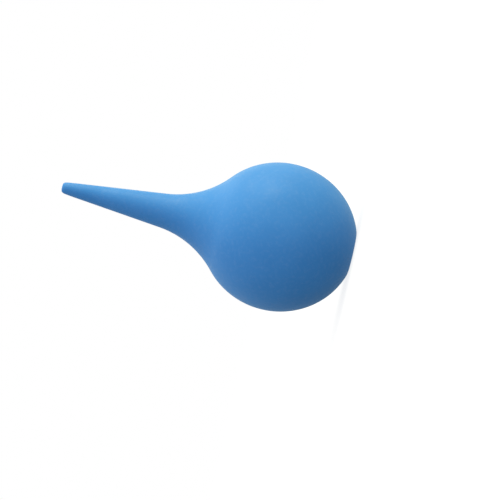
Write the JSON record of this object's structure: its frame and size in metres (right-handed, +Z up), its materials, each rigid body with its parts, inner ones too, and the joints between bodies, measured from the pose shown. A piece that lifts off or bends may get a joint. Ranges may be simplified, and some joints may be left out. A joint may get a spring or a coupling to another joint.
{
  "type": "pipette filler bulb",
  "caption": "Soft rubber ball with a flared shoulder and a long tapered nozzle: pinching the ball drives air out, letting go draws liquid up a pipette.",
  "frame": {"origin": "middle of the flat foot that the bulb stands on", "axes": "+Z up along the nozzle's axis, towards its tip; the ball is pinched along Y, with the thumb's side at -Y and the fingers' side at +Y"},
  "size_m": [0.05, 0.05, 0.1],
  "materials": {
    "bulb_rubber": "matte, fine bloom, soft sheen",
    "plug_rubber": "matte, slightly darker than the bulb"
  },
  "bodies": {
    "bulb_body": {"shoulder": "bulb_rubber", "side_belt": "bulb_rubber", "foot": "bulb_rubber", "base_plug": "plug_rubber"},
    "thumb_ring": {"thumb_flex_wall": "bulb_rubber"},
    "thumb_pad": {"thumb_press_wall": "bulb_rubber"},
    "finger_ring": {"finger_flex_wall": "bulb_rubber"},
    "finger_pad": {"finger_press_wall": "bulb_rubber"},
    "nozzle_root": {"nozzle_base": "bulb_rubber"},
    "nozzle_end": {"nozzle_tip": "bulb_rubber"}
  },
  "joints": [
    {"name": "thumb_flex", "type": "slide", "parent": "bulb_body", "child": "thumb_ring", "axis": [0, 1, 0], "range_m": [0, 0.002], "stiffness_N_per_m": 1000},
    {"name": "thumb_press", "type": "slide", "parent": "thumb_ring", "child": "thumb_pad", "axis": [0, 1, 0], "range_m": [0, 0.0139], "stiffness_N_per_m": 1000},
    {"name": "finger_flex", "type": "slide", "parent": "bulb_body", "child": "finger_ring", "axis": [0, -1, 0], "range_m": [0, 0.002], "stiffness_N_per_m": 1000},
    {"name": "finger_press", "type": "slide", "parent": "finger_ring", "child": "finger_pad", "axis": [0, -1, 0], "range_m": [0, 0.0139], "stiffness_N_per_m": 1000},
    {"name": "nozzle_bend", "type": "hinge", "parent": "bulb_body", "child": "nozzle_root", "pos_m": [0, 0, 0.066], "axis": [0, 1, 0], "range_deg": [-8, 8], "stiffness_Nm_per_rad": 0.05},
    {"name": "nozzle_end_bend", "type": "hinge", "parent": "nozzle_root", "child": "nozzle_end", "pos_m": [0, 0, 0.08], "axis": [0, 1, 0], "range_deg": [-8, 8], "stiffness_Nm_per_rad": 0.05}
  ],
  "couplings": [
    {"joint": "thumb_press", "follows": "thumb_flex", "ratio": 6.95},
    {"joint": "finger_flex", "follows": "thumb_flex", "ratio": 1},
    {"joint": "finger_press", "follows": "thumb_flex", "ratio": 6.95},
    {"joint": "nozzle_end_bend", "follows": "nozzle_bend", "ratio": 1}
  ]
}
